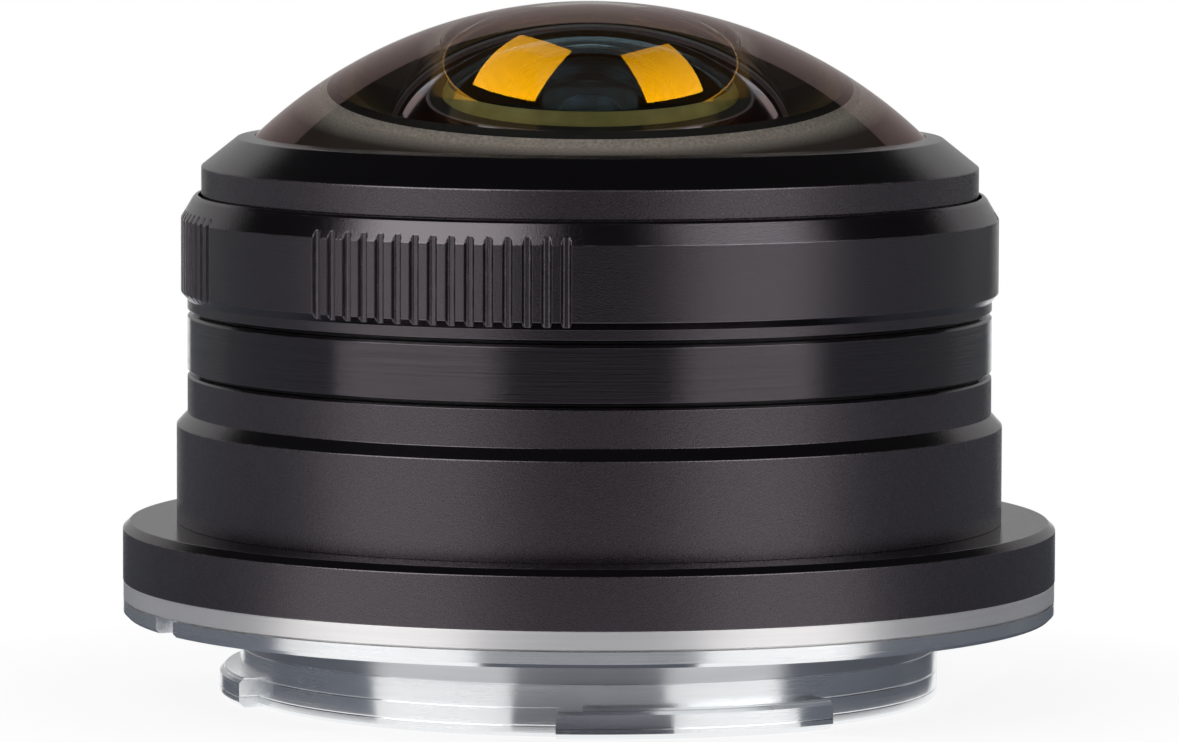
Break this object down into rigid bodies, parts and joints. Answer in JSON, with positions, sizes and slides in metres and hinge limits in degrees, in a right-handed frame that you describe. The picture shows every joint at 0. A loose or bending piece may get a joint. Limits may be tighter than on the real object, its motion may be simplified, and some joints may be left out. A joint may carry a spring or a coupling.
{
  "type": "fisheye lens",
  "caption": "Circular fisheye lens with a domed front glass, grooved focus ring, smooth aperture ring with a working iris, and a bayonet mount.",
  "frame": {"origin": "centre of the mount's seating face, on the optical axis", "axes": "+Z along the optical axis towards the front glass; -Y towards the side shown in the picture, +X to its right"},
  "size_m": [0.06, 0.06, 0.0446],
  "materials": {
    "bright_metal": "machined, bright",
    "satin_metal": "satin, turned",
    "black_anodised": "blasted and black anodised",
    "black_cell": "matt black",
    "screw_steel": "bright",
    "black_screws": "blackened",
    "blade_steel": "blued",
    "coated_glass": "polished, coated",
    "seal": "matt",
    "black_plastic": "matt",
    "washer": "smooth"
  },
  "bodies": {
    "barrel": {"bayonet_mount": "bright_metal", "mount_spacer": "satin_metal", "mount_screws": "screw_steel", "flange_ring": "black_anodised", "barrel_screws": "screw_steel", "rear_barrel": "black_anodised", "guide_barrel": "black_anodised", "lower_washer": "washer", "middle_washer": "washer", "focus_retainer": "black_anodised", "rear_baffle": "black_plastic", "baffle_screws": "black_screws", "front_ring": "black_anodised", "front_element": "coated_glass", "front_seal": "seal", "front_cell": "black_cell", "second_element": "coated_glass", "third_element": "coated_glass", "third_retainer": "black_cell", "fourth_element": "coated_glass", "fourth_retainer": "black_cell", "stop_pins": "screw_steel", "iris_housing": "black_cell", "iris_screws": "screw_steel", "iris_retainer": "black_cell", "rear_cell": "black_cell", "fifth_element": "coated_glass", "sixth_element": "coated_glass", "doublet_retainer": "black_cell", "seventh_element": "coated_glass", "rear_retainer": "black_cell"},
    "focus_ring": {"focus_ring": "black_anodised"},
    "aperture_ring": {"aperture_ring": "black_anodised", "aperture_pin": "screw_steel"},
    "iris_rotor": {"iris_rotor": "blade_steel"},
    "blade_1": {"iris_blade_1": "blade_steel"},
    "blade_2": {"iris_blade_2": "blade_steel"},
    "blade_3": {"iris_blade_3": "blade_steel"},
    "blade_4": {"iris_blade_4": "blade_steel"},
    "blade_5": {"iris_blade_5": "blade_steel"},
    "blade_6": {"iris_blade_6": "blade_steel"},
    "blade_7": {"iris_blade_7": "blade_steel"}
  },
  "joints": [
    {"name": "focus_turn", "type": "hinge", "parent": "barrel", "child": "focus_ring", "pos_m": [0, 0, 0.023], "axis": [0, 0, 1], "range_deg": [0, 90]},
    {"name": "aperture_turn", "type": "hinge", "parent": "barrel", "child": "aperture_ring", "pos_m": [0, 0, 0.0175], "axis": [0, 0, 1], "range_deg": [0, 40]},
    {"name": "iris_turn", "type": "hinge", "parent": "barrel", "child": "iris_rotor", "pos_m": [0, 0, 0.0165], "axis": [0, 0, 1], "range_deg": [0, 40]},
    {"name": "blade_1_swing", "type": "hinge", "parent": "barrel", "child": "blade_1", "pos_m": [0.0076, 0, 0.0157], "axis": [0, 0, 1], "range_deg": [0, 17]},
    {"name": "blade_2_swing", "type": "hinge", "parent": "barrel", "child": "blade_2", "pos_m": [0.00474, 0.00594, 0.0157], "axis": [0, 0, 1], "range_deg": [0, 17]},
    {"name": "blade_3_swing", "type": "hinge", "parent": "barrel", "child": "blade_3", "pos_m": [-0.00169, 0.00741, 0.0157], "axis": [0, 0, 1], "range_deg": [0, 17]},
    {"name": "blade_4_swing", "type": "hinge", "parent": "barrel", "child": "blade_4", "pos_m": [-0.00685, 0.0033, 0.0157], "axis": [0, 0, 1], "range_deg": [0, 17]},
    {"name": "blade_5_swing", "type": "hinge", "parent": "barrel", "child": "blade_5", "pos_m": [-0.00685, -0.0033, 0.0157], "axis": [0, 0, 1], "range_deg": [0, 17]},
    {"name": "blade_6_swing", "type": "hinge", "parent": "barrel", "child": "blade_6", "pos_m": [-0.00169, -0.00741, 0.0157], "axis": [0, 0, 1], "range_deg": [0, 17]},
    {"name": "blade_7_swing", "type": "hinge", "parent": "barrel", "child": "blade_7", "pos_m": [0.00474, -0.00594, 0.0157], "axis": [0, 0, 1], "range_deg": [0, 17]}
  ],
  "couplings": [
    {"joint": "iris_turn", "follows": "aperture_turn", "ratio": 1},
    {"joint": "blade_1_swing", "follows": "aperture_turn", "ratio": 0.425},
    {"joint": "blade_2_swing", "follows": "aperture_turn", "ratio": 0.425},
    {"joint": "blade_3_swing", "follows": "aperture_turn", "ratio": 0.425},
    {"joint": "blade_4_swing", "follows": "aperture_turn", "ratio": 0.425},
    {"joint": "blade_5_swing", "follows": "aperture_turn", "ratio": 0.425},
    {"joint": "blade_6_swing", "follows": "aperture_turn", "ratio": 0.425},
    {"joint": "blade_7_swing", "follows": "aperture_turn", "ratio": 0.425}
  ]
}
